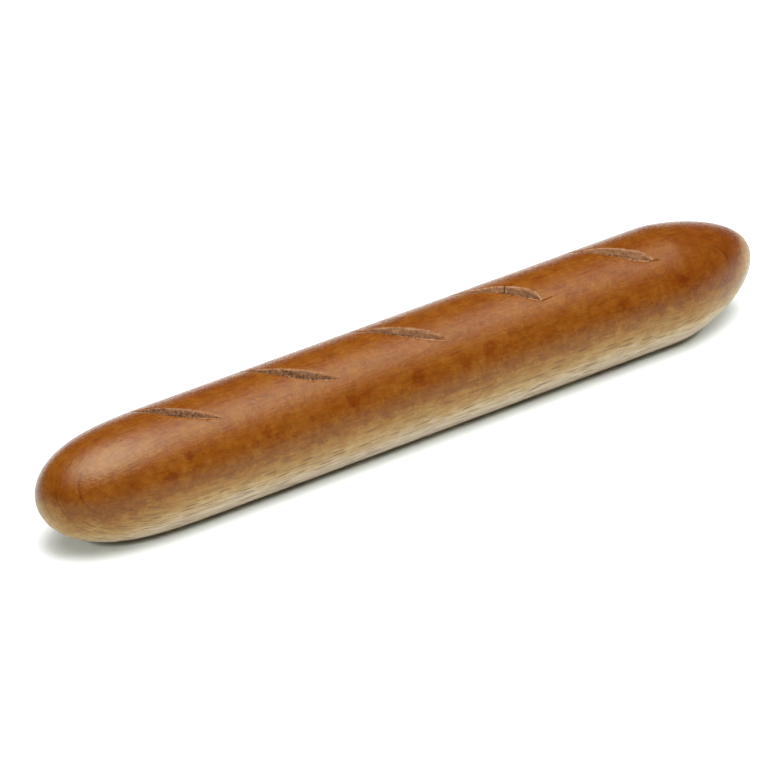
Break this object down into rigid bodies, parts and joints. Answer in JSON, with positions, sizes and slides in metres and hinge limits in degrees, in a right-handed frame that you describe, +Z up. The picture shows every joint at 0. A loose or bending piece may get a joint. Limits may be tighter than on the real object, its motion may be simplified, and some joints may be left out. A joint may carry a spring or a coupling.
{
  "type": "wooden toy baguette",
  "caption": "Play-food baguette turned from one bar of beech, brown-stained and varnished on top, bare below, with slanting grooves cut across its crown and a planed base to rest on.",
  "frame": {"origin": "centre of the bounding box's base, on the planed face that the loaf rests on", "axes": "+X along the loaf, from its full round end to its more pointed end; +Z up, out of the grooved crown; +Y across the loaf"},
  "size_m": [0.175, 0.025, 0.0234],
  "materials": {
    "stained_beech": "brown stain under satin varnish on the top, fading to bare pale beech on the lower sides and base"
  },
  "bodies": {
    "root": {"baguette": "stained_beech"}
  },
  "joints": []
}
